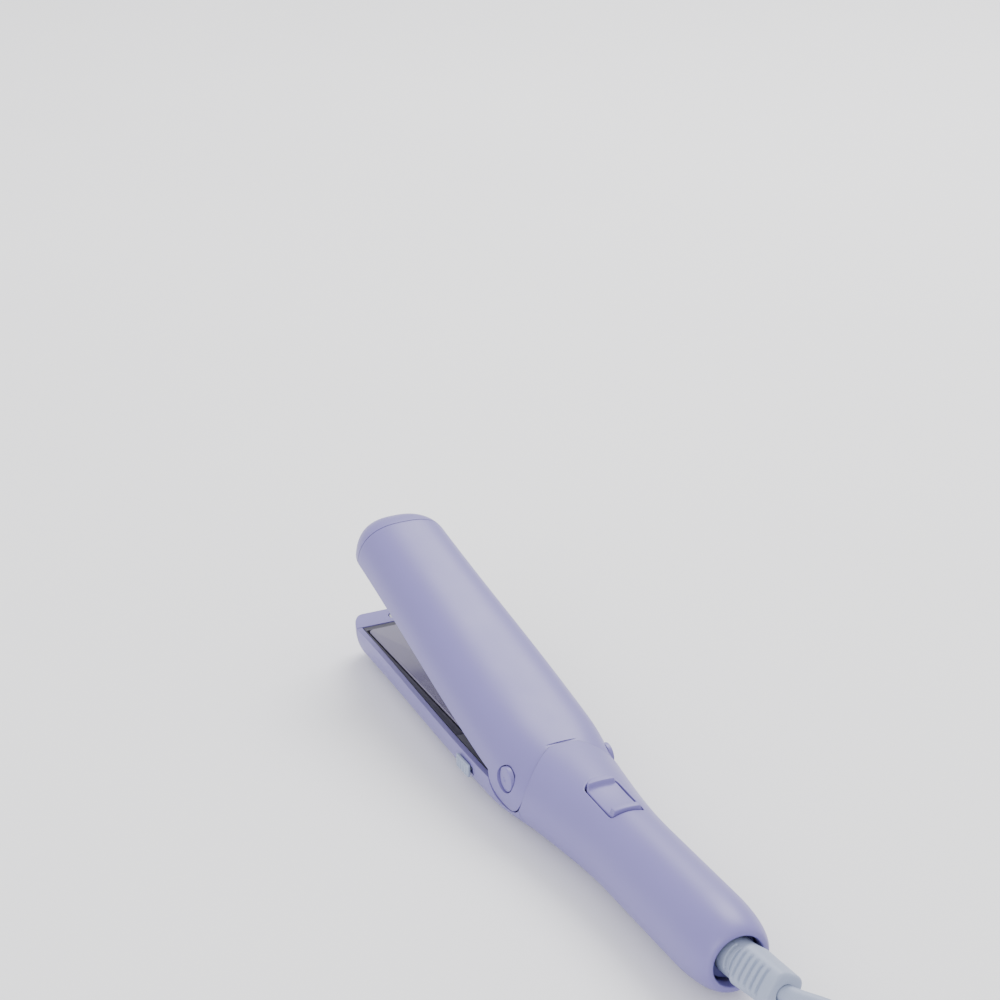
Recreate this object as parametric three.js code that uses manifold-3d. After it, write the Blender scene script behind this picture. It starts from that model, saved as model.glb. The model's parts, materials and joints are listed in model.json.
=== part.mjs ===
// Flat iron, millimetres, +Z up. The tail and its cord point to +X, the plates to -X.
// Most shapes are laid out by s, the distance from the tail's rim towards the tip, and by h, the height
// above the handle's axis.
import * as THREE from 'three';
import { mergeVertices } from 'three/addons/utils/BufferGeometryUtils.js';
import Module from 'manifold-3d';

const wasm = await Module();
wasm.setup();

// ---- driving dimensions ----
const LENGTH = 300;            // rim to tip
const RIM_X = 137.65;          // x of the rim, which centres the object on X
const AXIS_Z = 17.5;           // height of the handle's axis above the table
const TAIL_R = 16;
const RIM_R = 11;
const TAIL_ROUND = 22;         // length of the rounded end
const ARM_HALF_WIDTH = 23.9;
const ARM_HALF_HEIGHT = 18.2;
const TIP_HALF_WIDTH = 20.5;
const FLARE_FROM = 70;
const FLARE_TO = 155;
const WALL = 2.2;
const FIT = 0.4;               // gap between pieces that touch
const SEAM_H = -10.5;          // the underside cover's seam on the tail

const HINGE_S = 136;
const HINGE_H = 5;
const BARREL_R = 12.5;
const YOKE_R = 13.1;
const OPEN_DEG = 12;           // the arms' angle at rest
const ARM_GAP = 1;             // between the arms' edges when closed

const PLATE_FROM = 186.5;
const PLATE_TO = 284;
const PLATE_WIDTH = 34;
const TRAY_FROM = 184;
const TRAY_TO = 287.6;
const TIP_FROM = 288;

const LOCK_TOE = 166.4;        // the lock's bar and hooks, from the toes' tips
const LOCK_HEEL = 172;         // to their backs
const HOOK_TOP = 5.9;

const SWITCH_S = 92;
const SWITCH_LENGTH = 24;
const SWITCH_WIDTH = 12.8;
const SWITCH_GAP = 0.6;
const SWITCH_PIVOT_H = 13.6;

const BALL_S = 11;
const BALL_R = 10.8;
const TILT_DEG = 7;            // how far the strain relief leans to the side at rest
const BOOT_ROOT = 14.2;         // from the ball's centre to where the strain relief's neck ends
const BOOT_REACH = 33.6;       // and to its outer end

const CORD_D = 6.2;
const LAY = 6.3;               // height of one layer of cord
const LANE = 7;                // distance between two cords that lie side by side
const FOLD_R = 18.6;           // the hank's inner bend, three cord diameters
const HANK_LAYERS = 3;
const HANK_FROM = 85;          // from the cord's exit to the hank's straight run
const HANK_RUN = 93;
const HANK_PINCH = 15.1;       // how far the tie pulls each side in
const TIE_WIDTH = 12;
const PLUG_FROM = 55;          // from the start of the hank's run to the plug's neck

const PLASTIC = { color: 0xa5a3c5, roughness: 0.42, metalness: 0 };
const CORD_PLASTIC = { color: 0xb9c1cb, roughness: 0.55, metalness: 0 };
const TRAY_PLASTIC = { color: 0x2c2a33, roughness: 0.6, metalness: 0 };
const PLATE_COAT = { color: 0x6f6a80, roughness: 0.25, metalness: 0.8 };
const STEEL = { color: 0xb4b6ba, roughness: 0.35, metalness: 1 };
const INNER_PLASTIC = { color: 0x55528a, roughness: 0.5, metalness: 0 };
const BRASS = { color: 0xb99a4e, roughness: 0.35, metalness: 1 };
const CERAMIC = { color: 0xe6e2d8, roughness: 0.7, metalness: 0 };
const SILICONE = { color: 0xb4553a, roughness: 0.8, metalness: 0 };
const BOARD = { color: 0x2f6b4a, roughness: 0.6, metalness: 0 };
const WIRE = { color: 0xd8d5cf, roughness: 0.6, metalness: 0 };

const iron = new THREE.Group();
const upperArm = new THREE.Group();
upperArm.position.set(RIM_X - HINGE_S, 0, AXIS_Z + HINGE_H);
upperArm.rotation.y = THREE.MathUtils.degToRad(OPEN_DEG);
iron.add(upperArm);
const swivel = new THREE.Group();
swivel.position.set(RIM_X - BALL_S, 0, AXIS_Z);
swivel.rotation.z = THREE.MathUtils.degToRad(TILT_DEG);
iron.add(swivel);

// ---- solids: every shape below is a manifold solid until it becomes a mesh ----

function solid(geometry) {
  const bare = new THREE.BufferGeometry();
  bare.setAttribute('position', geometry.getAttribute('position').clone());
  if (geometry.getIndex()) bare.setIndex(geometry.getIndex());
  const merged = mergeVertices(bare, 1e-3);
  const points = merged.getAttribute('position').array;
  const index = merged.getIndex().array;
  const corners = [];
  let volume = 0;
  for (let i = 0; i < index.length; i += 3) {
    const [a, b, c] = index.slice(i, i + 3);
    if (a === b || b === c || c === a) continue;
    corners.push(a, b, c);
    const [p, q, r] = [a, b, c].map((k) => new THREE.Vector3().fromArray(points, 3 * k));
    volume += p.dot(q.cross(r));
  }
  if (volume < 0) corners.reverse();
  return new wasm.Manifold(new wasm.Mesh({
    numProp: 3,
    vertProperties: new Float32Array(points),
    triVerts: new Uint32Array(corners),
  }));
}

function join(...solids) {
  return solids.reduce((a, b) => a.add(b));
}

function cut(body, ...tools) {
  return tools.reduce((a, b) => a.subtract(b), body);
}

function geometryOf(body) {
  const mesh = body.getMesh();
  const geometry = new THREE.BufferGeometry();
  const points = new THREE.BufferAttribute(new Float32Array(mesh.vertProperties), 3);
  geometry.setAttribute('position', points);
  geometry.setIndex(new THREE.BufferAttribute(new Uint32Array(mesh.triVerts), 1));
  return geometry;
}

// Adds a solid given in the object's own frame. A group that is turned gets it with its own origin.
function add(name, body, look, group = iron) {
  const mesh = new THREE.Mesh(geometryOf(body), new THREE.MeshStandardMaterial(look));
  mesh.name = name;
  if (group !== iron) mesh.position.copy(group.position).negate();
  group.add(mesh);
}

// The mesh of a turned group keeps the straight layout, so it turns with the group about its origin.
function addSwivel(name, body, look) {
  const mesh = new THREE.Mesh(geometryOf(body), new THREE.MeshStandardMaterial(look));
  mesh.name = name;
  swivel.add(mesh);
}

// A box between two distances from the rim, two sides and two heights above the axis.
function box(s0, s1, y0, y1, h0, h1) {
  const geometry = new THREE.BoxGeometry(s1 - s0, y1 - y0, h1 - h0);
  geometry.translate(RIM_X - (s0 + s1) / 2, (y0 + y1) / 2, AXIS_Z + (h0 + h1) / 2);
  return solid(geometry);
}

// An outline in side view, of [s, h] points, carried across the width from y0 to y1.
function sideProfile(points, y0, y1) {
  const outline = new THREE.Shape(points.map(([s, h]) => new THREE.Vector2(RIM_X - s, AXIS_Z + h)));
  const geometry = new THREE.ExtrudeGeometry(outline, { depth: y1 - y0, bevelEnabled: false });
  geometry.rotateX(Math.PI / 2);
  geometry.translate(0, y1, 0);
  return solid(geometry);
}

// An outline in plan, of a THREE.Shape in x and y, carried from h0 up to h1.
function planProfile(outline, h0, h1) {
  const geometry = new THREE.ExtrudeGeometry(outline, {
    depth: h1 - h0, bevelEnabled: false, curveSegments: 8,
  });
  geometry.translate(0, 0, AXIS_Z + h0);
  return solid(geometry);
}

function cylinderY(s, h, radius, y0, y1, sides = 32) {
  const geometry = new THREE.CylinderGeometry(radius, radius, y1 - y0, sides);
  geometry.translate(RIM_X - s, (y0 + y1) / 2, AXIS_Z + h);
  return solid(geometry);
}

function cylinderZ(s, y, radius, h0, h1, sides = 16) {
  const geometry = new THREE.CylinderGeometry(radius, radius, h1 - h0, sides);
  geometry.rotateX(Math.PI / 2);
  geometry.translate(RIM_X - s, y, AXIS_Z + (h0 + h1) / 2);
  return solid(geometry);
}

// A profile of [radius, s] points turned about the handle's axis.
function turned(profile, sides = 24) {
  const points = profile.map(([r, s]) => new THREE.Vector2(r, s));
  const geometry = new THREE.LatheGeometry(points, sides);
  geometry.rotateZ(Math.PI / 2);
  geometry.translate(RIM_X, 0, AXIS_Z);
  return solid(geometry);
}

// The same about the swivel's own axis: [radius, distance outward from the ball's centre].
function swivelTurned(profile, sides = 24) {
  const points = profile.map(([r, d]) => new THREE.Vector2(r, d));
  const geometry = new THREE.LatheGeometry(points, sides);
  geometry.rotateZ(-Math.PI / 2);
  return solid(geometry);
}

// A round wire or tube through points.
function tube(points, diameter, steps, sides) {
  const outline = new THREE.Shape();
  for (let i = 0; i < sides; i += 1) {
    const turn = (2 * Math.PI * i) / sides;
    const [x, y] = [Math.cos(turn), Math.sin(turn)].map((v) => (v * diameter) / 2);
    if (i === 0) outline.moveTo(x, y);
    else outline.lineTo(x, y);
  }
  outline.closePath();
  const path = new THREE.CatmullRomCurve3(points.map((p) => new THREE.Vector3(...p)));
  return solid(new THREE.ExtrudeGeometry(outline, { steps, extrudePath: path, bevelEnabled: false }));
}

const atS = (s, y, h) => [RIM_X - s, y, AXIS_Z + h];

// ---- the outer form ----

const ease = (t) => (1 - Math.cos(Math.PI * THREE.MathUtils.clamp(t, 0, 1))) / 2;

// Half width, half height and corner power of the section at s. It is round on the tail, wider and
// squarer on the arms, and rounded over at both ends.
function section(s) {
  const flare = ease((s - FLARE_FROM) / (FLARE_TO - FLARE_FROM));
  const taper = ease((s - FLARE_TO) / (LENGTH - FLARE_TO));
  let halfWidth = TAIL_R + (ARM_HALF_WIDTH - TAIL_R) * flare - (ARM_HALF_WIDTH - TIP_HALF_WIDTH) * taper;
  let halfHeight = TAIL_R + (ARM_HALF_HEIGHT - TAIL_R) * flare;
  if (s < TAIL_ROUND) {
    const left = (TAIL_ROUND - s) / TAIL_ROUND;
    halfWidth = RIM_R + (TAIL_R - RIM_R) * Math.sqrt(Math.max(0, 1 - left * left));
    halfHeight = halfWidth;
  }
  const tipRound = 14;
  const reach = 20;
  if (s > LENGTH - tipRound) {
    const part = (s - LENGTH + tipRound) / reach;
    const shrink = Math.sqrt(1 - part * part);
    halfWidth *= shrink;
    halfHeight *= shrink;
  }
  const power = 2 + 0.6 * ease((s - 118) / 34);
  return { halfWidth, halfHeight, power };
}

const HULL_STATIONS = [0, 1.3, 3.4, 6.5, 10.5, 15.5, 22, 70, 84, 94, 103, 112, 121, 131, 142, 155,
  200, 245, 286, 291, 295, 298, 300];

// The outer form from s0 to s1, all its walls moved in by inset. Its underside is flat on the table.
function hull(s0, s1, inset) {
  const between = HULL_STATIONS.filter((s) => s > s0 + 0.5 && s < s1 - 0.5);
  const stations = [s0, ...between, s1];
  const profile = [new THREE.Vector2(0, s0)];
  stations.forEach((s) => profile.push(new THREE.Vector2(1, s)));
  profile.push(new THREE.Vector2(0, s1));
  const geometry = new THREE.LatheGeometry(profile, 36);
  const points = geometry.getAttribute('position');
  const bend = (v, power) => Math.sign(v) * Math.abs(v) ** (2 / power);
  const floor = inset > 0 ? -Infinity : -AXIS_Z;
  for (let i = 0; i < points.count; i += 1) {
    const s = points.getY(i);
    const { halfWidth, halfHeight, power } = section(s);
    const y = bend(points.getX(i), power) * (halfWidth - inset);
    const h = Math.max(bend(points.getZ(i), power) * (halfHeight - inset), floor);
    points.setXYZ(i, RIM_X - s, y, AXIS_Z + h);
  }
  return solid(geometry);
}

const outer = hull(0, LENGTH, 0);
const cavity = hull(24, TIP_FROM + 5, WALL);
const lined = hull(24, TIP_FROM + 5, WALL + FIT);
const WIDE = 40;
const hingePinHole = cylinderY(HINGE_S, HINGE_H, 2.35, -WIDE, WIDE, 16);
const yoke = cylinderY(HINGE_S, HINGE_H, YOKE_R, -WIDE, WIDE);
const barrel = cylinderY(HINGE_S, HINGE_H, BARREL_R, -WIDE, WIDE);

// ---- switch ----

// The switch's outline in plan: straight at the rear, an arc at the front.
function switchOutline(grow) {
  const halfWidth = SWITCH_WIDTH / 2 + grow;
  const rear = RIM_X - SWITCH_S + SWITCH_LENGTH / 2 + grow;
  const front = RIM_X - SWITCH_S - SWITCH_LENGTH / 2 - grow;
  const rise = 3.2;
  const outline = new THREE.Shape();
  outline.moveTo(rear, -halfWidth);
  outline.lineTo(rear, halfWidth);
  outline.lineTo(front + rise, halfWidth);
  outline.quadraticCurveTo(front - rise, 0, front + rise, -halfWidth);
  outline.closePath();
  return outline;
}

function addSwitch() {
  const half = SWITCH_LENGTH / 2;
  const top = TAIL_R + 1.45;
  const low = 11.4;
  const ridge = 3;
  const saddle = [];
  for (let i = 0; i <= 8; i += 1) {
    const t = i / 4 - 1;
    saddle.push([SWITCH_S + t * (half - ridge), TAIL_R - 1.3 + 1.3 * t * t]);
  }
  const side = sideProfile([
    [SWITCH_S - half - 1, low],
    [SWITCH_S - half - 1, top - 1],
    [SWITCH_S - half + 0.8, top],
    [SWITCH_S - half + ridge - 0.6, top],
    ...saddle,
    [SWITCH_S + half - ridge + 0.6, top],
    [SWITCH_S + half - 0.8, top],
    [SWITCH_S + half + 2, top - 1],
    [SWITCH_S + half + 2, low],
  ], -WIDE, WIDE);
  const crown = hull(60, 130, -0.8);
  const keyhole = planProfile(switchOutline(0), low, top + 1);
  const trunnion = cylinderY(SWITCH_S, SWITCH_PIVOT_H, 1.6, -SWITCH_WIDTH / 2 - 0.3, SWITCH_WIDTH / 2 + 0.3, 12);
  add('rocker_switch', join(side.intersect(keyhole).intersect(crown), trunnion), PLASTIC);
  const body = box(SWITCH_S - 11, SWITCH_S + 11, -5.8, 5.8, 3, 8.2);
  const post = box(SWITCH_S - 2, SWITCH_S + 2, -4, 4, 8, 10.9);
  add('switch_module', join(body, post), TRAY_PLASTIC);
}

// ---- handle ----

function screwPost(s) {
  return cut(cylinderZ(s, 0, 3.4, SEAM_H + 0.4, 15.4, 12), cylinderZ(s, 0, 1.9, SEAM_H - 1, -2, 12));
}

const SCREW_STATIONS = { housing_screw_rear: 31, housing_screw_middle: 113 };

// The opening in the tail's end: a round mouth, and a wider chamber behind it that holds the ball.
const bore = join(
  turned([[0, -1], [9.8, -1], [9.8, 4.2], [11.4, 4.8], [0, 4.8]], 32),
  turned([[0, 4.6], [11.4, 4.6], [11.4, 25], [0, 25]], 32),
);

function addHandleTop() {
  const region = sideProfile([
    [-5, 30], [-5, -30], [13, -30], [13, SEAM_H], [126, SEAM_H],
    [126, HINGE_H], [131.5, HINGE_H + 6], [131.5, 30],
  ], -WIDE, WIDE);
  const pocket = planProfile(switchOutline(SWITCH_GAP), 9, 24);
  const shell = cut(outer, cavity, bore, yoke, pocket).intersect(region);
  const posts = Object.values(SCREW_STATIONS).map(screwPost);
  add('handle_top_shell', join(shell, ...posts), PLASTIC);
}

function addLowerHousing() {
  const region = sideProfile([
    [13.4, -30], [13.4, SEAM_H - FIT], [126.4, SEAM_H - FIT], [126.4, 0],
    [TIP_FROM - FIT, 0], [TIP_FROM - FIT, -30],
  ], -WIDE, WIDE);
  let shell = cut(outer, cavity, bore, yoke).intersect(region);
  Object.values(SCREW_STATIONS).forEach((s) => {
    shell = join(shell, cylinderZ(s, 0, 5, -15, SEAM_H - FIT, 12));
    shell = cut(shell, cylinderZ(s, 0, 3.4, -20, -13.2, 12), cylinderZ(s, 0, 1.9, -20, -5, 12));
  });
  const lockSlot = box(162.4, 173, -30, 30, -7.1, -3.3);
  add('lower_housing', cut(shell, lockSlot), PLASTIC);
}

// A screw that comes from below (up = 1) or from above (up = -1) with its head's outer face at h.
function screw(s, y, h, up, length) {
  const span = (a, b) => (up > 0 ? [h + a, h + b] : [h - b, h - a]);
  const head = cylinderZ(s, y, 3, ...span(0, 1.4), 12);
  const shank = cylinderZ(s, y, 1.5, ...span(1.3, length), 10);
  const cross = box(s - 1.7, s + 1.7, y - 0.35, y + 0.35, ...span(-1, 0.7));
  const cross2 = box(s - 0.35, s + 0.35, y - 1.7, y + 1.7, ...span(-1, 0.7));
  return cut(join(head, shank), cross, cross2);
}

function addHandleInside() {
  add('control_board', box(37, 105, -11.8, 11.8, 0.8, 2.4), BOARD);
  add('mains_capacitor', cylinderZ(56, 4, 5, 2.8, 10.2, 16), TRAY_PLASTIC);
  add('triac', join(box(68, 73, -9, 1, 2.8, 9.6), box(69, 70.4, -6, -2, 9, 11.6)), STEEL);
  Object.entries(SCREW_STATIONS).forEach(([name, s]) => {
    add(name, screw(s, 0, -15, 1, 9), STEEL);
  });
  [['live', 1], ['neutral', -1]].forEach(([wire, side]) => {
    add(`mains_lead_${wire}`, tube([
      atS(21.4, 2.6 * side, 0), atS(25, 3.2 * side, -1), atS(30, 6.2 * side, -3.4),
      atS(38, 6 * side, -2.6), atS(46, 6 * side, -0.6),
    ], 1.7, 8, 6), WIRE);
    add(`lower_heater_lead_${wire}`, tube([
      atS(96, 5.6 * side, -0.6), atS(104, 5.8 * side, -4), atS(114, 6.2 * side, -9.6),
      atS(136, 5.6 * side, -10.4), atS(152, 5.2 * side, -9.8), atS(166, 5 * side, -9.4),
      atS(176, 4.6 * side, -8.8), atS(183.5, 4 * side, -7.6),
    ], 1.7, 12, 6), WIRE);
    add(`upper_heater_lead_${wire}`, tube([
      atS(144, 7.8 * side, 10), atS(156, 6.8 * side, 9.4), atS(170, 4.6 * side, 8),
      atS(183.5, 4 * side, 6.6),
    ], 1.7, 6, 6), WIRE, upperArm);
  });
}

// ---- hinge ----

function addHinge() {
  const base = box(128.5, 150.5, -9.9, 9.9, -13.4, -12);
  const ears = [-1, 1].map((side) => {
    const [y0, y1] = side < 0 ? [-9.9, -8.5] : [8.5, 9.9];
    const web = sideProfile([
      [129.5, -12.7], [130.2, HINGE_H], [141.8, HINGE_H], [149.5, -12.7],
    ], y0, y1);
    return join(web, cylinderY(HINGE_S, HINGE_H, 5.8, y0, y1, 24));
  });
  add('hinge_bracket', cut(join(base, ...ears), hingePinHole), STEEL);
  add('hinge_pin', cylinderY(HINGE_S, HINGE_H, 2, -19.4, 19.4, 16), STEEL);
  [['left', -1], ['right', 1]].forEach(([name, side]) => {
    const dome = [[0, 0], [4.9, 0], [4.9, 1.1], [4.2, 1.7], [2.6, 2.1], [0, 2.25]];
    const cap = new THREE.LatheGeometry(dome.map(([r, t]) => new THREE.Vector2(r, t)), 24);
    if (side < 0) cap.rotateX(Math.PI);
    cap.translate(RIM_X - HINGE_S, side * 20.4, AXIS_Z + HINGE_H);
    add(`hinge_cap_${name}`, solid(cap), PLASTIC, upperArm);
  });
  const coils = 4;
  const coilR = 3.9;
  const wire = 1.5;
  const turns = [];
  turns.push(atS(HINGE_S + 12, -2.6, -10.6));
  turns.push(atS(HINGE_S + 8, -4.6, -5));
  const steps = coils * 8 + 4;
  for (let i = 0; i <= steps; i += 1) {
    const turn = -0.9 - (2 * Math.PI * i) / 8;
    const y = -4.2 + (8.4 * i) / steps;
    turns.push(atS(HINGE_S + coilR * Math.cos(turn), y, HINGE_H + coilR * Math.sin(turn)));
  }
  turns.push(atS(HINGE_S + 7, 4.4, HINGE_H + 4.4));
  turns.push(atS(HINGE_S + 13, 4, HINGE_H + 8));
  add('opening_spring', tube(turns, wire, 96, 6), STEEL);
}

// ---- inside of both arms; u is the depth from the arm's parting face ----

// up is 1 in the upper arm and -1 in the lower arm
function depth(up, u0, u1) {
  return up > 0 ? [ARM_GAP + u0, ARM_GAP + u1] : [-u1, -u0];
}

function roundedRectangle(s0, s1, halfWidth, radius) {
  const [x0, x1] = [RIM_X - s1, RIM_X - s0];
  const outline = new THREE.Shape();
  outline.moveTo(x0 + radius, -halfWidth);
  outline.lineTo(x1 - radius, -halfWidth);
  outline.absarc(x1 - radius, radius - halfWidth, radius, -Math.PI / 2, 0, false);
  outline.absarc(x1 - radius, halfWidth - radius, radius, 0, Math.PI / 2, false);
  outline.absarc(x0 + radius, halfWidth - radius, radius, Math.PI / 2, Math.PI, false);
  outline.absarc(x0 + radius, radius - halfWidth, radius, Math.PI, 1.5 * Math.PI, false);
  return outline;
}

function plate(up) {
  const thickness = 3;
  const bevel = 0.8;
  const outline = roundedRectangle(PLATE_FROM + bevel, PLATE_TO - bevel, PLATE_WIDTH / 2 - bevel, 1.6);
  const geometry = new THREE.ExtrudeGeometry(outline, {
    depth: thickness - bevel, bevelEnabled: true, bevelThickness: bevel, bevelSize: bevel,
    bevelSegments: 2, curveSegments: 3,
  });
  // the extrusion has a bevel at both ends; the back one is cut off
  const [face, back] = depth(up, -0.35, thickness - 0.35);
  geometry.translate(0, 0, AXIS_Z + (up > 0 ? face + bevel : face));
  const body = solid(geometry);
  return body.intersect(box(100, 320, -WIDE, WIDE, face, back));
}

function addArmInside(name, up, group) {
  const d = (u0, u1) => depth(up, u0, u1);
  add(`${name}_heater_plate`, plate(up), PLATE_COAT, group);
  add(`${name}_heater`, box(192, 278, -9.5, 9.5, ...d(3, 5.4)), CERAMIC, group);
  [['rear', 206], ['front', 264]].forEach(([end, s]) => {
    add(`${name}_cushion_${end}`, box(s - 7, s + 7, -5, 5, ...d(5.75, 7.65)), SILICONE, group);
  });
  const block = lined.intersect(box(TRAY_FROM, TRAY_TO, -WIDE, WIDE, ...d(0.2, 9.6)));
  const platePocket = box(PLATE_FROM - 0.5, PLATE_TO + 0.5, -PLATE_WIDTH / 2 - 0.5,
    PLATE_WIDTH / 2 + 0.5, ...d(-1, 3.9));
  const heaterPocket = box(191.5, 278.5, -10, 10, ...d(3, 8));
  add(`${name}_plate_tray`, cut(block, platePocket, heaterPocket), TRAY_PLASTIC, group);
  const hole = cylinderZ(156.5, 0, 1.9, ...d(-1, 9), 12);
  const sink = cylinderZ(156.5, 0, 3.4, ...d(-1, 1.8), 12);
  const slotFrom = up > 0 ? 165.4 : 166.2;
  const hookSlots = [[-14.5, -9.5], [9.5, 14.5]].map(([y0, y1]) => (
    box(slotFrom, 173.2, y0, y1, ...d(-1, 9))
  ));
  const cover = lined.intersect(box(150.6, TRAY_FROM - FIT, -WIDE, WIDE, ...d(0.2, 3)));
  add(`${name}_liner`, cut(cover, hole, sink, ...hookSlots), TRAY_PLASTIC, group);
  add(`${name}_liner_screw`, screw(156.5, 0, up > 0 ? ARM_GAP + 0.3 : -0.3, up, 8), STEEL, group);
  const tipSolid = outer.intersect(box(TIP_FROM, LENGTH + 5, -WIDE, WIDE, ...d(0, 30)));
  const tipHole = cut(tipSolid, cylinderZ(293, 0, 1.9, ...d(-1, 9), 12),
    cylinderZ(293, 0, 3.4, ...d(-1, 1.8), 12));
  add(`${name}_cool_tip`, tipHole, PLASTIC, group);
  add(`${name}_tip_screw`, screw(293, 0, up > 0 ? ARM_GAP + 0.3 : -0.3, up, 8), STEEL, group);
}

function addUpperShell() {
  const ahead = sideProfile([
    [HINGE_S, ARM_GAP], [HINGE_S, 30], [TIP_FROM - FIT, 30], [TIP_FROM - FIT, ARM_GAP],
  ], -WIDE, WIDE);
  const skin = cut(outer, cavity).intersect(join(ahead, barrel));
  const discs = cut(barrel, box(100, 170, -12.5, 12.5, -20, 30)).intersect(outer);
  const ring = cut(barrel, cylinderY(HINGE_S, HINGE_H, BARREL_R - 1.9, -WIDE, WIDE))
    .intersect(box(100, 170, -13, 13, -20, 30));
  const frontTop = box(HINGE_S, 170, -WIDE, WIDE, ARM_GAP + 1.5, 30);
  const slots = [-1, 1].map((side) => {
    const [y0, y1] = side < 0 ? [-10.4, -8] : [8, 10.4];
    return box(120, 150, y0, y1, -20, 4);
  });
  const springSlot = box(HINGE_S, 150, -6.6, -3.6, -20, 2);
  const barrelWall = cut(ring, frontTop, springSlot, ...slots).intersect(outer);
  const recesses = [
    cylinderY(HINGE_S, HINGE_H, 5.4, 20, WIDE, 24),
    cylinderY(HINGE_S, HINGE_H, 5.4, -WIDE, -20, 24),
  ];
  add('upper_arm_shell', cut(join(skin, discs, barrelWall), hingePinHole, ...recesses), PLASTIC, upperArm);
}

// A bar across the lower arm with a thumb piece at each end and two hooks that reach up between the arms.
// Each hook's toe stays low enough to pass under the upper arm's liner while the arms are open.
function addLock() {
  const bar = box(LOCK_TOE, LOCK_HEEL, -24.4, 24.4, -6.6, -3.8);
  const sides = [-1, 1].map((side) => {
    const span = (near, far) => (side < 0 ? [-far, -near] : [near, far]);
    const thumb = box(LOCK_TOE - 2.9, LOCK_HEEL + 2.5, ...span(24.2, 25.3), -7.8, -2.6);
    const grips = [0, 1, 2, 3].map((i) => (
      box(LOCK_TOE - 1.4 + 2.4 * i, LOCK_TOE - 0.4 + 2.4 * i, ...span(25, 25.8), -7.2, -3.2)
    ));
    const stem = box(LOCK_HEEL - 2, LOCK_HEEL, ...span(10, 14), -4, HOOK_TOP);
    const toe = box(LOCK_TOE, LOCK_HEEL, ...span(10, 14), HOOK_TOP - 1.5, HOOK_TOP);
    return join(thumb, ...grips, stem, toe);
  });
  add('lock_slider', join(bar, ...sides), CORD_PLASTIC);
}

// ---- swivel and strain relief, laid out along the swivel's own axis ----

function addSwivelJoint() {
  const ring = [[9.9, 17.6], [11.1, 17.6], [11.1, 22.6], [5, 22.6], [5, 21], [9.9, 21], [9.9, 17.6]];
  add('swivel_collar', turned(ring, 24), INNER_PLASTIC);
  const ball = [[7.2, 4.8], [9.67, 4.8]];
  for (let i = 1; i < 8; i += 1) {
    const d = 4.8 - (9.6 * i) / 8;
    ball.push([Math.sqrt(BALL_R ** 2 - d ** 2), d]);
  }
  ball.push([9.67, -4.8], [7.2, -4.8], [7.2, 4.8]);
  addSwivel('swivel_ball', swivelTurned(ball), INNER_PLASTIC);
  const annulus = (inner, outward, from, to) => swivelTurned([
    [inner, from], [outward, from], [outward, to], [inner, to], [inner, from],
  ], 20);
  addSwivel('swivel_clip', annulus(6, 8.4, -5.2, -6), STEEL);
  addSwivel('contact_ring_outer', annulus(4.3, 5.6, -5.2, -6.2), BRASS);
  addSwivel('contact_ring_inner', annulus(2.3, 3.6, -5.2, -6.2), BRASS);
  addSwivel('brush_holder', annulus(1.8, 6.9, -6.6, -8), TRAY_PLASTIC);
  const half = 7.6;
  const corner = 5.2;
  const bootSection = new THREE.Shape();
  [[1, -1], [1, 1], [-1, 1], [-1, -1]].forEach(([x, y], i) => {
    const centre = half - corner;
    bootSection.absarc(x * centre, y * centre, corner, (i - 1) * (Math.PI / 2), i * (Math.PI / 2), false);
  });
  const rounding = 1.4;
  const length = BOOT_REACH - BOOT_ROOT - rounding;
  const long = new THREE.ExtrudeGeometry(bootSection, {
    depth: length, bevelEnabled: true, bevelThickness: rounding, bevelSize: rounding,
    bevelOffset: -rounding, bevelSegments: 2, curveSegments: 4,
  });
  long.rotateY(Math.PI / 2);
  long.translate(BOOT_ROOT, 0, 0);
  const neck = swivelTurned([
    [0, -4.8], [6.8, -4.8], [6.8, 5.4], [7.4, 6], [7.4, BOOT_ROOT + 2], [0, BOOT_ROOT + 2],
  ]);
  addSwivel('strain_relief', join(solid(long), neck), CORD_PLASTIC);
}

// ---- cord: a lead from the strain relief down to the table, then a hank held by a tie ----

const tilt = THREE.MathUtils.degToRad(TILT_DEG);
const EXIT = [RIM_X - BALL_S + BOOT_REACH * Math.cos(tilt), BOOT_REACH * Math.sin(tilt), AXIS_Z];
const HANK_X = EXIT[0] + HANK_FROM;
const OUTER_LANE = FOLD_R + LANE;

// The lead's route, from the cord's exit.
const LEAD_ROUTE = [
  [1.9, 0.87, 0], [3.6, 1.83, 0], [6.7, 4.27, 0], [9.6, 7, -0.12], [12.6, 9.73, -0.65],
  [15.5, 12.41, -1.58], [19.5, 15.51, -3.2], [23.7, 18.07, -5.19], [28.4, 19.92, -7.37],
  [33.3, 21, -9.53], [38.2, 21.44, -11.46], [43.2, 21.51, -12.99], [48.2, 21.51, -13.96],
  [53.2, 21.51, -14.3], [58.2, 21.51, -14.3], [66.1, 21.51, -14.3],
];

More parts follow.
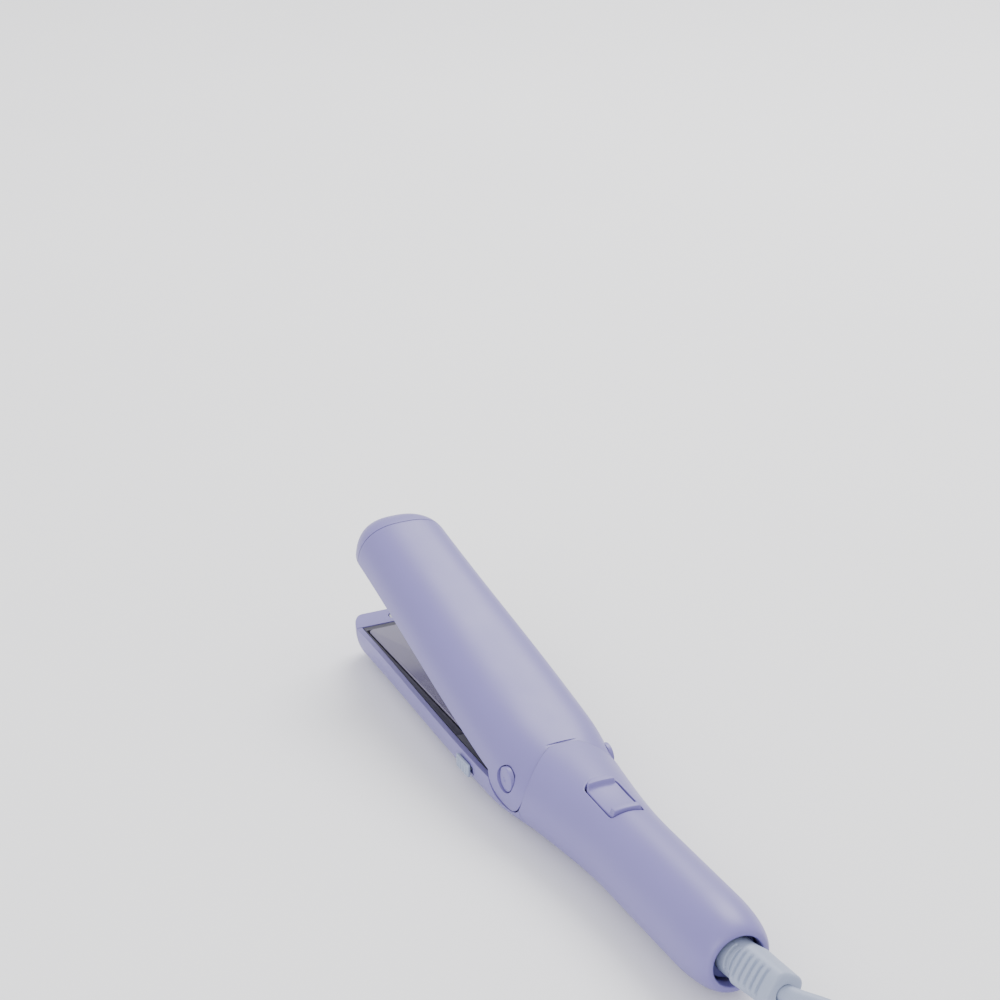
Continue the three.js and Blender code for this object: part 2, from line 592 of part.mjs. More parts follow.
function addCord() {
  const route = LEAD_ROUTE.map((p) => p.map((v, axis) => v + EXIT[axis]));
  add('cord_lead', tube(route, CORD_D, 26, 8), CORD_PLASTIC);

  const edge = OUTER_LANE + CORD_D / 2 + 0.2;
  const pinched = (t, side) => {
    const pull = (HANK_PINCH * (1 - Math.cos(2 * Math.PI * t))) / 2;
    return new THREE.Vector2(HANK_X + HANK_RUN * t, side * (edge - pull));
  };
  const along = Array.from({ length: 11 }, (_, i) => i / 10);
  const outline = new THREE.Shape(along.map((t) => pinched(t, -1)));
  outline.absarc(HANK_X + HANK_RUN, 0, edge, -Math.PI / 2, Math.PI / 2, false);
  along.reverse().forEach((t) => outline.lineTo(...pinched(t, 1).toArray()));
  const shoulder = 18.6;
  outline.lineTo(HANK_X - shoulder, edge);
  outline.lineTo(HANK_X - shoulder, Math.sqrt(edge ** 2 - shoulder ** 2));
  outline.absarc(HANK_X, 0, edge, Math.PI - Math.acos(shoulder / edge), 1.5 * Math.PI, false);
  const height = HANK_LAYERS * LAY + 0.2;
  const hank = planProfile(outline, 0.05 - AXIS_Z, height - AXIS_Z);
  const middle = HANK_X + HANK_RUN / 2;
  const under = new THREE.BoxGeometry(30, 80, 1.7);
  under.translate(middle, 0, 0.85);
  const waist = edge - HANK_PINCH;
  const raised = new THREE.BoxGeometry(24, 2 * waist - 1, 2);
  raised.translate(middle, 0, height + 0.2);
  add('cord_hank', cut(join(hank, solid(raised)), solid(under)), CORD_PLASTIC);

  // the tie is a flat band round the pinched middle
  const band = new THREE.Shape();
  const bandInner = waist + 1.1;
  const bandOuter = bandInner + 1.2;
  band.moveTo(-bandOuter, 0.1);
  band.lineTo(bandOuter, 0.1);
  band.lineTo(bandOuter, height + 2.8);
  band.lineTo(-bandOuter, height + 2.8);
  band.closePath();
  const inside = new THREE.Path();
  inside.moveTo(-bandInner, 1.3);
  inside.lineTo(-bandInner, height + 1.6);
  inside.lineTo(bandInner, height + 1.6);
  inside.lineTo(bandInner, 1.3);
  inside.closePath();
  band.holes.push(inside);
  const loop = new THREE.ExtrudeGeometry(band, { depth: TIE_WIDTH, bevelEnabled: false });
  loop.rotateX(Math.PI / 2);
  loop.rotateZ(Math.PI / 2);
  loop.translate(middle - TIE_WIDTH / 2, 0, 0);
  add('cord_tie', solid(loop), TRAY_PLASTIC);
}

// A slim plug with two round pins, lying on the far half of the hank.
function addPlug() {
  const low = HANK_LAYERS * LAY + 0.6;
  const bodyX = HANK_X + PLUG_FROM + 14;
  const outline = new THREE.Shape();
  outline.moveTo(bodyX, -8);
  outline.quadraticCurveTo(bodyX + 2, -13, bodyX + 12, -13);
  outline.lineTo(bodyX + 30, -12);
  outline.quadraticCurveTo(bodyX + 33, -11.8, bodyX + 33, -9);
  outline.lineTo(bodyX + 33, 9);
  outline.quadraticCurveTo(bodyX + 33, 11.8, bodyX + 30, 12);
  outline.lineTo(bodyX + 12, 13);
  outline.quadraticCurveTo(bodyX + 2, 13, bodyX, 8);
  outline.closePath();
  const body = planProfile(outline, low - AXIS_Z, low + 13 - AXIS_Z);
  const neck = new THREE.CylinderGeometry(4.6, 5.6, 15, 14);
  neck.rotateZ(Math.PI / 2);
  neck.translate(bodyX - 6.5, 0, low + 6.5);
  add('plug_body', join(body, solid(neck)), CORD_PLASTIC);
  [['left', -9.5], ['right', 9.5]].forEach(([name, y]) => {
    const pin = new THREE.CylinderGeometry(2, 2, 18.5, 12);
    pin.rotateZ(Math.PI / 2);
    pin.translate(bodyX + 33.4 + 9.25, y, low + 6.5);
    add(`plug_pin_${name}`, solid(pin), STEEL);
  });
}

addHandleTop();
addLowerHousing();
addSwitch();
addHandleInside();
addHinge();
addUpperShell();
addArmInside('lower', -1, iron);
addArmInside('upper', 1, upperArm);
addLock();
addSwivelJoint();
addCord();
addPlug();

export default iron;
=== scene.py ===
import json

import bmesh
import bpy
import numpy as np
from mathutils import Matrix, Vector


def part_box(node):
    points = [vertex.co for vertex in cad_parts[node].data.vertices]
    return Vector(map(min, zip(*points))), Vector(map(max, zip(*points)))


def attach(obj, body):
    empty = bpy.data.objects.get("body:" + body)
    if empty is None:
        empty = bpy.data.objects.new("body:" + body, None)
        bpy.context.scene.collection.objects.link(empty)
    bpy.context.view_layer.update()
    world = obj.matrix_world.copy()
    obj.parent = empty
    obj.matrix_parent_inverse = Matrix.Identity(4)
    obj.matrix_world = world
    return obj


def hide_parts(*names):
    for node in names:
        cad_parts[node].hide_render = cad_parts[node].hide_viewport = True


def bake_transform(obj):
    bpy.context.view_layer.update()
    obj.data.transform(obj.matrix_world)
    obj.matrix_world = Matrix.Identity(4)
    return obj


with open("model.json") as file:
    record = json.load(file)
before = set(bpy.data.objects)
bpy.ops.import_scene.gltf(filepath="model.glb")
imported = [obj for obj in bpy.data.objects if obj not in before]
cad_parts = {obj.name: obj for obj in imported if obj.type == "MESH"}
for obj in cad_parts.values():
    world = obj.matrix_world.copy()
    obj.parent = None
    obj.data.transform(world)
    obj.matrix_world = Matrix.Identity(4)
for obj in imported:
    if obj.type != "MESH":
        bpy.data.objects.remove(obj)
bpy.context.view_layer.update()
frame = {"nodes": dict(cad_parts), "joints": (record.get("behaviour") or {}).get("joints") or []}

# ---- the layout ----
# Shapes are laid out in millimetres: s runs from the tail's rim towards the tip, y across, and h up from
# the handle's axis. A mesh gets its metres when it is made.
MM = 0.001
JOINTS = {joint["name"]: joint for joint in frame["joints"]}
RIM_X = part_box("handle_top_shell")[1][0] / MM
SWIVEL = np.array(JOINTS["cord_tilt"]["pos_m"]) / MM      # the swivel ball's centre
HINGE = np.array(JOINTS["arm_hinge"]["pos_m"]) / MM
AXIS_Z = SWIVEL[2]
HINGE_S = RIM_X - HINGE[0]
HINGE_H = HINGE[2] - AXIS_Z
OPEN = np.radians(-JOINTS["arm_hinge"]["range_deg"][0])   # the arms' angle at rest
LEAN = np.arctan2(JOINTS["cord_spin"]["axis"][1], JOINTS["cord_spin"]["axis"][0])

LENGTH = 300
TAIL_R = 16
RIM_R = 11
TAIL_ROUND = 22        # length of the rounded end
ARM_HALF_WIDTH = 23.9
ARM_HALF_HEIGHT = 18.2
TIP_HALF_WIDTH = 20.5
FLARE_FROM, FLARE_TO = 70, 155
TIP_ROUND_FROM, TIP_ROUND_REACH = 286, 20
TIP_EDGE = 1.6         # the small round where the tips end
WALL = 2.2
FIT = 0.4              # gap between covers that meet
SEAM_H = -10.5         # the underside cover's seam on the tail
ARM_GAP = 1            # between the arms' edges when closed
TIP_FROM = 288
BARREL_R, YOKE_R = 12.5, 13.1
WIDE, HIGH = 40, 30    # past every wall
SCREWS = (31, 113)     # the underside cover's screws
SCREW_R, HEAD_R = 1.9, 3.4
HOLLOW_FROM = 24       # where the covers' hollow starts
SEAM_FROM, SEAM_TO = 13, 126
SHOULDER = 131.5       # where the handle's top cover ends over the hinge
BARREL_WALL = 1.9
BARREL_HALF = 13       # half length of the barrel's ring between the arm's two discs
PIN_HOLE_R = 2.35
CAP_R, CAP_FACE = 5.4, 20
LOCK_FROM, LOCK_TO = 162.4, 173
LOCK_LOW, LOCK_HIGH = -7.1, -3.3
PLATE_FROM, PLATE_TO = 186.5, 284
PLATE_HALF_WIDTH = 17
TIP_SCREW = 293

MOUTH_R = 9.8          # the opening in the tail's end
CHAMBER_R = 11.4
LIP = 0.7

SWITCH_REAR, SWITCH_FRONT = 80, 104
SWITCH_HALF_WIDTH = 6.4
SWITCH_RISE = 3.2      # how far its front edge bulges
SWITCH_GAP = 0.6
RIDGE = 2.9            # width of the rear ridge

BOOT_REACH = 33.6      # the strain relief's outer end, from the ball's centre
BOOT_SPIN = 56         # degrees that its grooved face is turned to the side

CORD_D = 6.2
LAY = 6.3              # height of one layer of cord
FOLD_R = 18.6          # the hank's inner bend
LANE = 7               # distance between cords that lie side by side
HANK_FROM = 85         # from the cord's exit to the hank's straight run
HANK_RUN = 93
HANK_PINCH = 15.1      # how far the tie pulls each side in
TIE_LIFT = 1.5         # the cord lies on the tie under its middle
PLUG_FROM = 55         # from the start of the hank's run to the plug's neck


def ease(t):
    """From 0 to 1 along half a cosine wave."""
    return (1 - np.cos(np.pi * np.clip(t, 0, 1))) / 2


def step(t):
    """From 0 to 1, flat at both ends: 3 t squared less 2 t cubed."""
    t = np.clip(t, 0, 1)
    return t * t * (3 - 2 * t)


def place(s, y, h):
    """Points in millimetres from distances along, across and up."""
    return np.stack(np.broadcast_arrays(RIM_X - np.asarray(s, float), y, AXIS_Z + np.asarray(h, float)), -1)


# ---- meshes ----

def piece_of(name, points, faces):
    """An object from points in millimetres, with its faces turned outwards."""
    mesh = bpy.data.meshes.new(name)
    mesh.from_pydata((np.asarray(points) * MM).tolist(), [], faces)
    work = bmesh.new()
    work.from_mesh(mesh)
    if work.calc_volume(signed=True) < 0:
        bmesh.ops.reverse_faces(work, faces=work.faces)
    work.to_mesh(mesh)
    work.free()
    piece = bpy.data.objects.new(name, mesh)
    bpy.context.scene.collection.objects.link(piece)
    return piece


def lofted(name, rings, ring_shaped=False):
    """A closed skin through rings of points, an array of ring by point by xyz. Four-sided faces join
    neighbours, and a fan to its middle closes each end, or the last ring joins the first."""
    rings = np.asarray(rings, float)
    count, around = rings.shape[:2]
    rows = count if ring_shaped else count - 1
    i, j = np.meshgrid(np.arange(rows), np.arange(around), indexing="ij")
    following, beside = (i + 1) % count, (j + 1) % around
    corners = (i * around + j, i * around + beside, following * around + beside, following * around + j)
    faces = np.stack(corners, -1).reshape(-1, 4).tolist()
    points = rings.reshape(-1, 3)
    if not ring_shaped:
        middle = len(points)
        points = np.vstack([points, rings[0].mean(axis=0), rings[-1].mean(axis=0)])
        here = np.arange(around)
        beside = (here + 1) % around
        last = (count - 1) * around
        faces += np.stack([beside, here, np.full(around, middle)], -1).tolist()
        faces += np.stack([last + here, last + beside, np.full(around, middle + 1)], -1).tolist()
    return piece_of(name, points, faces)


def slab(outline, y0=-WIDE, y1=WIDE):
    """A side outline of [s, h] points carried straight across from y0 to y1."""
    outline = np.array(outline, float)
    count = len(outline)
    points = np.vstack([place(outline[:, 0], y, outline[:, 1]) for y in (y0, y1)])
    faces = [list(range(count))[::-1], list(range(count, 2 * count))]
    faces += [[i, (i + 1) % count, count + (i + 1) % count, count + i] for i in range(count)]
    return piece_of("slab", points, faces)


def box(s0, s1, y0, y1, h0, h1):
    """A block between two places along, two across and two heights."""
    return slab([[s0, h0], [s1, h0], [s1, h1], [s0, h1]], y0, y1)


def turned(name, profile, centre, axis, around=96, ring_shaped=False):
    """A profile of [radius, distance] points spun about an axis through centre: each point becomes a circle
    of its radius, its distance along the axis."""
    axis = np.array(Vector(axis).normalized())
    side = np.cross(axis, [0, 0, 1] if abs(axis[2]) < 0.9 else [0, 1, 0])
    side /= np.linalg.norm(side)
    up = np.cross(axis, side)
    radius, distance = np.array(profile, float).T
    angle = np.linspace(0, 2 * np.pi, around, endpoint=False)
    circle = np.cos(angle)[:, None] * side + np.sin(angle)[:, None] * up
    rings = np.array(centre) + distance[:, None, None] * axis + radius[:, None, None] * circle
    return lofted(name, rings, ring_shaped)


def tail_turned(name, profile):
    """The same about the handle's axis, with distances s from the rim."""
    return turned(name, profile, (RIM_X, 0, AXIS_Z), (-1, 0, 0), 128)


def cylinder(s, y, radius, h0, h1):
    """An upright cylinder between two heights."""
    return turned("cylinder", [[radius, h0], [radius, h1]], (RIM_X - s, y, AXIS_Z), (0, 0, 1), 40)


def cross_cylinder(radius, y0, y1, around=128):
    """A cylinder about the hinge pin's axis between two places across."""
    return turned("cylinder", [[radius, y0], [radius, y1]], (HINGE[0], 0, HINGE[2]), (0, 1, 0), around)


def combined(operation, body, tools):
    """The body after each tool has been added, taken away or kept to. The tools are used up."""
    for tool in tools:
        change = body.modifiers.new(operation, "BOOLEAN")
        change.operation = operation
        change.solver = "MANIFOLD"
        change.object = tool
    depsgraph = bpy.context.evaluated_depsgraph_get()
    depsgraph.update()
    shaped = bpy.data.meshes.new_from_object(body.evaluated_get(depsgraph))
    body.modifiers.clear()
    body.data = shaped
    for tool in tools:
        bpy.data.objects.remove(tool)
    return body


def join(body, *tools):
    """The body with the tools added."""
    return combined("UNION", body, tools)


def cut(body, *tools):
    """The body with the tools taken away."""
    return combined("DIFFERENCE", body, tools)


def meet(body, *tools):
    """What the body and the tools share."""
    return combined("INTERSECT", body, tools)


def opened(piece):
    """Turns a piece of the upper arm from its closed place to its angle at rest."""
    to_hinge = Matrix.Translation(Vector(HINGE * MM))
    piece.data.transform(to_hinge @ Matrix.Rotation(OPEN, 4, "Y") @ to_hinge.inverted())
    return piece


def finished(piece, name, body, slot, nodes=(), sharp=32):
    """Names a piece, shades it smooth up to an angle, and says what it rides on and stands for. A piece
    that is blended across a joint rides on no body of its own."""
    piece.name = piece.data.name = name
    work = bmesh.new()
    work.from_mesh(piece.data)
    bmesh.ops.remove_doubles(work, verts=work.verts, dist=2e-6)
    work.to_mesh(piece.data)
    work.free()
    piece.data.polygons.foreach_set("use_smooth", np.ones(len(piece.data.polygons), bool))
    piece.data.set_sharp_from_angle(angle=np.radians(sharp))
    piece.data.materials.clear()
    piece.data.materials.append(MATERIALS[slot])
    if body:
        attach(piece, body)
    if nodes:
        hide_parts(*nodes)
    return piece


# ---- the outer form ----

def section(s):
    """Half width, half height and corner power at s: round on the tail, wider and squarer on the arms,
    rounded over at both ends."""
    s = np.asarray(s, float)
    flare = ease((s - FLARE_FROM) / (FLARE_TO - FLARE_FROM))
    taper = ease((s - FLARE_TO) / (LENGTH - FLARE_TO))
    width = TAIL_R + (ARM_HALF_WIDTH - TAIL_R) * flare - (ARM_HALF_WIDTH - TIP_HALF_WIDTH) * taper
    height = TAIL_R + (ARM_HALF_HEIGHT - TAIL_R) * flare
    left = np.clip((TAIL_ROUND - s) / TAIL_ROUND, 0, 1)
    rounding = RIM_R - TAIL_R + (TAIL_R - RIM_R) * np.sqrt(1 - left ** 2)
    part = np.clip((s - TIP_ROUND_FROM) / TIP_ROUND_REACH, 0, 1)
    shrink = np.sqrt(1 - part ** 2)
    edge = np.clip((s - LENGTH + TIP_EDGE) / TIP_EDGE, 0, 1)
    edge = TIP_EDGE * (1 - np.sqrt(1 - edge ** 2))
    power = 2 + 0.6 * ease((s - 118) / 34)
    return (width + rounding) * shrink - edge, (height + rounding) * shrink - edge, power


def crown(s, y):
    """Height of the outer form's top above the axis."""
    width, height, power = section(s)
    return height * (1 - np.abs(y / width) ** power) ** (1 / power)


def bend(v, power):
    """A sine or cosine raised to 2 / power, with its sign kept."""
    return np.sign(v) * np.abs(v) ** (2 / power)


def hull(s0, s1, inset=0.0, around=160):
    """The outer form from s0 to s1 with its walls moved in. Each section is a superellipse, a circle whose
    sine and cosine are raised to 2 / power, and the underside is flat where it stands on the table."""
    quarter = np.linspace(0, np.pi / 2, 26)
    stations = np.concatenate([
        TAIL_ROUND * (1 - np.cos(quarter)), np.linspace(TAIL_ROUND, FLARE_FROM, 14),
        np.linspace(FLARE_FROM, FLARE_TO, 60), np.linspace(FLARE_TO, TIP_ROUND_FROM, 40),
        np.linspace(TIP_ROUND_FROM, LENGTH - TIP_EDGE, 20), LENGTH - TIP_EDGE * np.cos(quarter[::3]),
    ])
    stations = np.unique(np.round(stations, 3))
    inner = stations[(stations > s0 + 0.05) & (stations < s1 - 0.05)]
    s = np.concatenate([[s0], inner, [s1]])[:, None]
    width, height, power = section(s)
    angle = np.linspace(0, 2 * np.pi, around, endpoint=False)
    y = bend(np.sin(angle), power) * (width - inset)
    h = bend(np.cos(angle), power) * (height - inset)
    if inset == 0:
        h = np.maximum(h, -AXIS_Z)
    return lofted("hull", place(np.broadcast_to(s, y.shape), y, h))


def bore():
    """The opening in the tail's end: a mouth with a round lip, then the chamber that holds the ball."""
    turn = np.linspace(0, np.pi / 2, 9)
    lip = np.stack([MOUTH_R + LIP * (1 - np.sin(turn)), LIP * (1 - np.cos(turn))], -1)
    profile = [[MOUTH_R + LIP, -2], *lip.tolist(), [MOUTH_R, 4.2], [CHAMBER_R, 4.8], [CHAMBER_R, 25]]
    return tail_turned("bore", profile)


def yoke():
    """The round room that the arm's barrel turns in, right across the handle."""
    return cross_cylinder(YOKE_R, -WIDE, WIDE)


# ---- switch ----

def square_path(count):
    """Points round the square from -1 to 1, closer together towards its corners."""
    t = -np.cos(np.linspace(0, np.pi, count, endpoint=False))
    one = np.ones(count)
    return np.vstack([np.stack(side, -1) for side in ((one, t), (-t, one), (-one, -t), (t, -one))])


def switch_plan(u, v, grow=0.0):
    """The switch's plan from a square: v goes across it, and u from its straight rear edge to its bulging
    front edge. The corners are pulled in a little."""
    y = v * (SWITCH_HALF_WIDTH + grow) * (1 - 0.055 * np.abs(u) ** 14)
    front = SWITCH_FRONT + grow - SWITCH_RISE * v ** 2
    rear = SWITCH_REAR - grow
    share = (u * (1 - 0.03 * np.abs(v) ** 14) + 1) / 2
    return rear + (front - rear) * share, y


def switch_pocket():
    """A cutter a little wider than the switch, flaring where it leaves the handle's surface."""
    u, v = square_path(36).T
    rings = []
    for grow, depth in ((0, 6.5), (0, 0.4), (0.05, 0.2), (0.2, 0.05), (0.5, -0.06), (0.7, -3)):
        s, y = switch_plan(u, v, SWITCH_GAP + grow)
        rings.append(place(s, y, crown(s, y) - depth))
    return lofted("pocket", rings)


def switch_top(s, y, across):
    """Height of the rocker: a shallow hollow between two ridges, a straight bar at the rear and a crescent
    at the front, and a small round along its outline, where across is the distance in from it. It is
    flatter across than the handle."""
    length = SWITCH_FRONT - SWITCH_REAR
    middle = np.clip((s - SWITCH_REAR) / length * 2 - 1, -1, 1)
    crest = crown(s, 0 * y)
    fall = crest - crown(s, y)
    hollow = crest - 0.35 - 0.6 * (1 - middle ** 2) - 0.6 * fall
    top = crest + 1.2 - 0.5 * fall
    crescent = SWITCH_FRONT - SWITCH_RISE - 0.7
    ridge = step((SWITCH_REAR + RIDGE + 0.35 - s) / 0.7) + step((s - crescent + 0.35) / 0.7)
    ridge = np.clip(ridge, 0, 1) * step((SWITCH_HALF_WIDTH - np.abs(y) - 0.45) / 0.7)
    edge = 0.5
    miss = np.clip(edge - across, 0, edge)
    drop = edge - np.sqrt(edge ** 2 - miss ** 2)
    return hollow + (top - hollow) * ridge - drop


def switch_key():
    """Rings that shrink from the outline to its middle carry the top, and a straight wall goes down."""
    u, v = square_path(44).T
    shares = 1 - np.concatenate([[0, 0.004, 0.012, 0.024, 0.04, 0.058, 0.078], np.linspace(0.1, 0.995, 64)])
    s, y = switch_plan(u, v)
    rings = [place(s, y, 11.4), place(s, y, 13)]
    for share in shares:
        s, y = switch_plan(u * share, v * share)
        across = (1 - share) * SWITCH_HALF_WIDTH * 1.4
        rings.append(place(s, y, switch_top(s, y, across)))
    key = lofted("key", rings)
    switch_s = (SWITCH_REAR + SWITCH_FRONT) / 2
    trunnion = turned("trunnion", [[0.7, -SWITCH_HALF_WIDTH - 0.3], [0.7, SWITCH_HALF_WIDTH + 0.3]],
                      (RIM_X - switch_s, 0, AXIS_Z + 12.6), (0, 1, 0), 32)
    return join(key, trunnion)


# ---- covers ----

def handle_top():
    """The handle's top cover with the whole round end: the outer form kept to a side outline, hollowed, and
    opened for the swivel, the hinge and the switch. A post stands over each screw."""
    region = slab([[-5, HIGH], [-5, -HIGH], [SEAM_FROM, -HIGH], [SEAM_FROM, SEAM_H], [SEAM_TO, SEAM_H],
                   [SEAM_TO, HINGE_H], [SHOULDER, HINGE_H + 6], [SHOULDER, HIGH]])
    cover = meet(hull(0, 150), region)
    cover = cut(cover, hull(HOLLOW_FROM, 200, WALL), bore(), yoke(), switch_pocket())
    for s in SCREWS:
        post = cut(cylinder(s, 0, HEAD_R, SEAM_H + FIT, 15.2), cylinder(s, 0, SCREW_R, SEAM_H - 1, -2))
        cover = join(cover, post)
    return cover


def underside():
    """The underside cover and the fixed lower arm in one: a strip under the tail that rises past the hinge
    to the arm's edge. A boss stands round each screw, and the lock slides in a slot right across."""
    region = slab([[SEAM_FROM + FIT, -HIGH], [SEAM_FROM + FIT, SEAM_H - FIT], [SEAM_TO + FIT, SEAM_H - FIT],
                   [SEAM_TO + FIT, 0], [TIP_FROM - FIT, 0], [TIP_FROM - FIT, -HIGH]])
    lock_slot = box(LOCK_FROM, LOCK_TO, -HIGH, HIGH, LOCK_LOW, LOCK_HIGH)
    cover = meet(hull(0, LENGTH), region)
    cover = cut(cover, hull(HOLLOW_FROM, TIP_FROM + 5, WALL), bore(), yoke(), lock_slot)
    for s in SCREWS:
        cover = join(cover, cylinder(s, 0, 5, -15, SEAM_H - FIT))
        cover = cut(cover, cylinder(s, 0, HEAD_R, -20, -13.2), cylinder(s, 0, SCREW_R, -20, -5))
    return cover


def upper_cover():
    """The upper arm's cover with the barrel that turns in the handle's yoke. What is hollow inside it is
    worked out first, so that the outer form cuts the whole piece once."""
    discs = cut(cross_cylinder(BARREL_R, -WIDE, WIDE), box(100, 170, -BARREL_R, BARREL_R, -HIGH, HIGH))
    ring = cut(cross_cylinder(BARREL_R, -BARREL_HALF, BARREL_HALF),
               cross_cylinder(BARREL_R - BARREL_WALL, -WIDE, WIDE))
    front_room = box(HINGE_S, 170, -WIDE, WIDE, ARM_GAP + 1.5, HIGH)
    bracket_slots = [box(120, 150, y0, y1, -20, 4) for y0, y1 in ((-10.4, -8), (8, 10.4))]
    spring_slot = box(HINGE_S, 150, -6.6, -3.6, -20, 2)
    ring = cut(ring, front_room, *bracket_slots, spring_slot)
    hollow = cut(hull(HOLLOW_FROM, TIP_FROM + 5, WALL), discs, ring)
    ahead = slab([[HINGE_S, ARM_GAP], [HINGE_S, HIGH], [TIP_FROM - FIT, HIGH], [TIP_FROM - FIT, ARM_GAP]])
    cover = cut(join(ahead, cross_cylinder(BARREL_R, -WIDE, WIDE)), hollow)
    return cut(meet(cover, hull(0, LENGTH)), cross_cylinder(PIN_HOLE_R, -WIDE, WIDE, 32),
               cross_cylinder(CAP_R, CAP_FACE, WIDE, 64), cross_cylinder(CAP_R, -WIDE, -CAP_FACE, 64))


def cool_tip(up):
    """A cool tip: the end of the outer form on one side of the gap, with its screw's hole and sink."""
    face = ARM_GAP if up > 0 else 0
    half = box(TIP_FROM, LENGTH + 5, -WIDE, WIDE, *sorted((face, up * HIGH)))
    tip = meet(hull(200, LENGTH), half)
    reach = [sorted((face + up * a, face + up * b)) for a, b in ((-1, 9), (-1, 1.8))]
    return cut(tip, cylinder(TIP_SCREW, 0, SCREW_R, *reach[0]), cylinder(TIP_SCREW, 0, HEAD_R, *reach[1]))


def heater_plate(up):
    """A flat plate with rounded corners whose face rolls over at its edges: rings of a rounded rectangle
    that move in by a quarter circle, then shrink over the face."""
    round_over, corner = 0.8, 2.4
    angle = np.linspace(0, np.pi / 2, 9)
    turns = np.concatenate([angle + k * np.pi / 2 for k in range(4)])
    mid, half_length = (PLATE_FROM + PLATE_TO) / 2, (PLATE_TO - PLATE_FROM) / 2
    signs = np.repeat([[1, 1], [-1, 1], [-1, -1], [1, -1]], 9, axis=0)

    def ring(inset, deep):
        """The plate's outline, moved in by inset and deep below its face."""
        radius = corner - inset * 0.9
        s = mid + signs[:, 0] * (half_length - inset - radius) + radius * np.cos(turns)
        y = signs[:, 1] * (PLATE_HALF_WIDTH - inset - radius) + radius * np.sin(turns)
        face = ARM_GAP if up > 0 else 0
        return place(s, y, face + up * deep)

    rolls = np.linspace(0, np.pi / 2, 7)
    rings = [ring(0, 2.65)]
    rings += [ring(round_over * (1 - np.cos(t)), -0.35 + round_over * (1 - np.sin(t))) for t in rolls]
    return lofted("plate", rings)


def hinge_dome(side):
    """A hinge cap: a quarter-circle crown spun about the pin's axis, with a small dish in its middle."""
    turn = np.linspace(0, np.pi / 2, 14)
    reach = CAP_FACE + 2 + 0.65 * np.sin(turn)
    dome = np.stack([4.9 - 3.6 * (1 - np.cos(turn)), reach], -1)
    dish = [[1.1, 22.6], [0.9, 22.35], [0.3, 22.2]]
    profile = [[4.9, 20.4], *dome.tolist(), *dish]
    return turned("dome", [[r, side * d] for r, d in profile], (HINGE[0], 0, HINGE[2]), (0, 1, 0), 72)


# ---- strain relief ----

AXIS = np.array([np.cos(LEAN), np.sin(LEAN), 0])
EXIT = SWIVEL + BOOT_REACH * AXIS


def boot():
    """A nearly round rounded square carried along the swivel's axis, slightly tapered. Seven shallow
    cosine grooves cross its two wide faces, and a small collar recess surrounds the cord."""
    grooves = 10.6 + 2.95 * np.arange(7)
    end_round = 1.2
    roll = np.linspace(0, np.pi / 2, 9)
    d = np.concatenate([
        [-4.8, 5.4, 6.0, 8.0], np.arange(9, 30, 0.16),
        np.linspace(30, BOOT_REACH - end_round, 8), BOOT_REACH - end_round * (1 - np.sin(roll[1:])),
    ])
    half = np.interp(d, [-4.8, 5.4, 6.0, 12.2, 15.4, 22, BOOT_REACH], [6.8, 6.8, 7.35, 7.4, 7.8, 7.5, 7.1])
    over = np.clip((d - BOOT_REACH + end_round) / end_round, 0, 1)
    half = half - end_round * (1 - np.sqrt(1 - over ** 2))
    power = 2 + 1.2 * step((d - 12.2) / 3.6)
    angle = np.linspace(0, 2 * np.pi, 144, endpoint=False)
    round_off = (np.abs(np.cos(angle)) ** power[:, None] + np.abs(np.sin(angle)) ** power[:, None])
    radius = half[:, None] / round_off ** (1 / power[:, None])
    from_groove = (d[:, None] - grooves) / 1.9
    groove = step(1.3 * (0.5 + 0.5 * np.cos(2 * np.pi * np.clip(from_groove, -0.5, 0.5)))).max(axis=1)
    face = 1 - step((np.degrees(np.arccos(np.abs(np.cos(angle)))) - 33) / 9)
    radius = radius - 1.1 * groove[:, None] * face
    recess = [(CORD_D / 2 + 0.55, 0), (CORD_D / 2 + 0.3, -0.25), (CORD_D / 2 + 0.2, -1.4)]
    radius = np.vstack([radius, *[np.full((1, 144), r) for r, _ in recess]])
    d = np.concatenate([d, [BOOT_REACH + back for _, back in recess]])
    # angle 0 is the middle of the grooved face, straight up before the spin
    side = np.cross([0, 0, 1], AXIS)
    spin = np.radians(BOOT_SPIN)
    up = np.cos(spin) * np.array([0, 0, 1]) - np.sin(spin) * side
    across = np.cross(AXIS, up)
    ring = np.cos(angle)[:, None] * up + np.sin(angle)[:, None] * across
    return lofted("boot", SWIVEL + d[:, None, None] * AXIS + radius[..., None] * ring)


# ---- cord ----

# The lead's route from the cord's exit, in metres. The points were worked out beforehand by a helper
# program: the heading eases from 22 degrees to 43 and back to 0, and the height falls by half a cosine
# wave. The model has the same points, but its first one is 0.8 mm further out.
LEAD_ROUTE = np.array([
    [0.0012, 0.00052, 0], [0.0036, 0.00183, 0], [0.0067, 0.00427, 0], [0.0096, 0.007, -0.00012],
    [0.0126, 0.00973, -0.00065], [0.0155, 0.01241, -0.00158], [0.0195, 0.01551, -0.0032],
    [0.0237, 0.01807, -0.00519], [0.0284, 0.01992, -0.00737], [0.0333, 0.021, -0.00953],
    [0.0382, 0.02144, -0.01146], [0.0432, 0.02151, -0.01299], [0.0482, 0.02151, -0.01396],
    [0.0532, 0.02151, -0.0143], [0.0582, 0.02151, -0.0143], [0.0661, 0.02151, -0.0143],
])
HANK_X = EXIT[0] + HANK_FROM
INNER, OUTER = FOLD_R, FOLD_R + LANE
LEVELS = [CORD_D / 2 + 0.1 + LAY * k for k in range(3)]
PLUG_Z = 26


